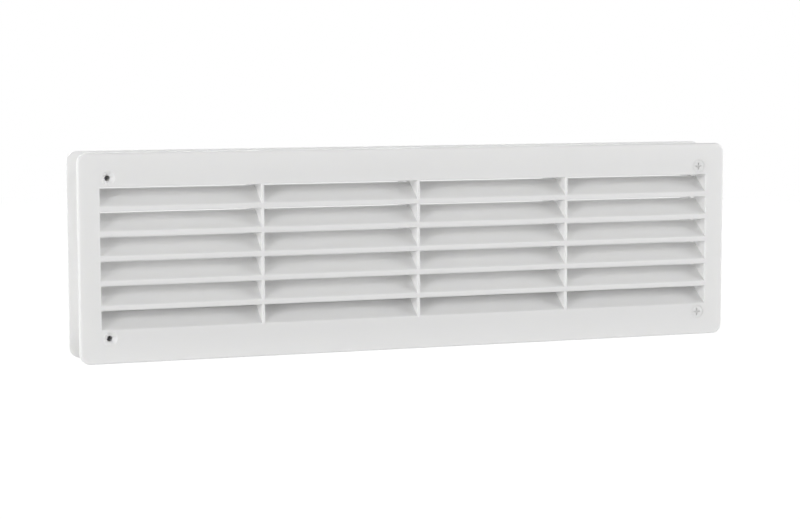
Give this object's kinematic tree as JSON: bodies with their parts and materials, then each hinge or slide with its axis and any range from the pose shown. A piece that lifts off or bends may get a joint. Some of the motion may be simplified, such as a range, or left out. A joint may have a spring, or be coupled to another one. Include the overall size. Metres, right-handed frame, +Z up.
{
  "type": "door louvre vent",
  "caption": "Louvred door vent: white slatted grilles with rounded flanges, set back to back through a door cut-out and joined by countersunk screws.",
  "frame": {"origin": "centre of the overall box: the middle of the door's cut-out, half way through the door", "axes": "+X along the vent to the right as seen from the front, +Y through the door from front to rear, +Z up"},
  "size_m": [0.455, 0.039, 0.134],
  "materials": {
    "white_plastic": "satin",
    "white_screw": "satin"
  },
  "bodies": {
    "root": {"front_grille": "white_plastic", "rear_grille": "white_plastic", "fixing_screws": "white_screw"}
  },
  "joints": []
}
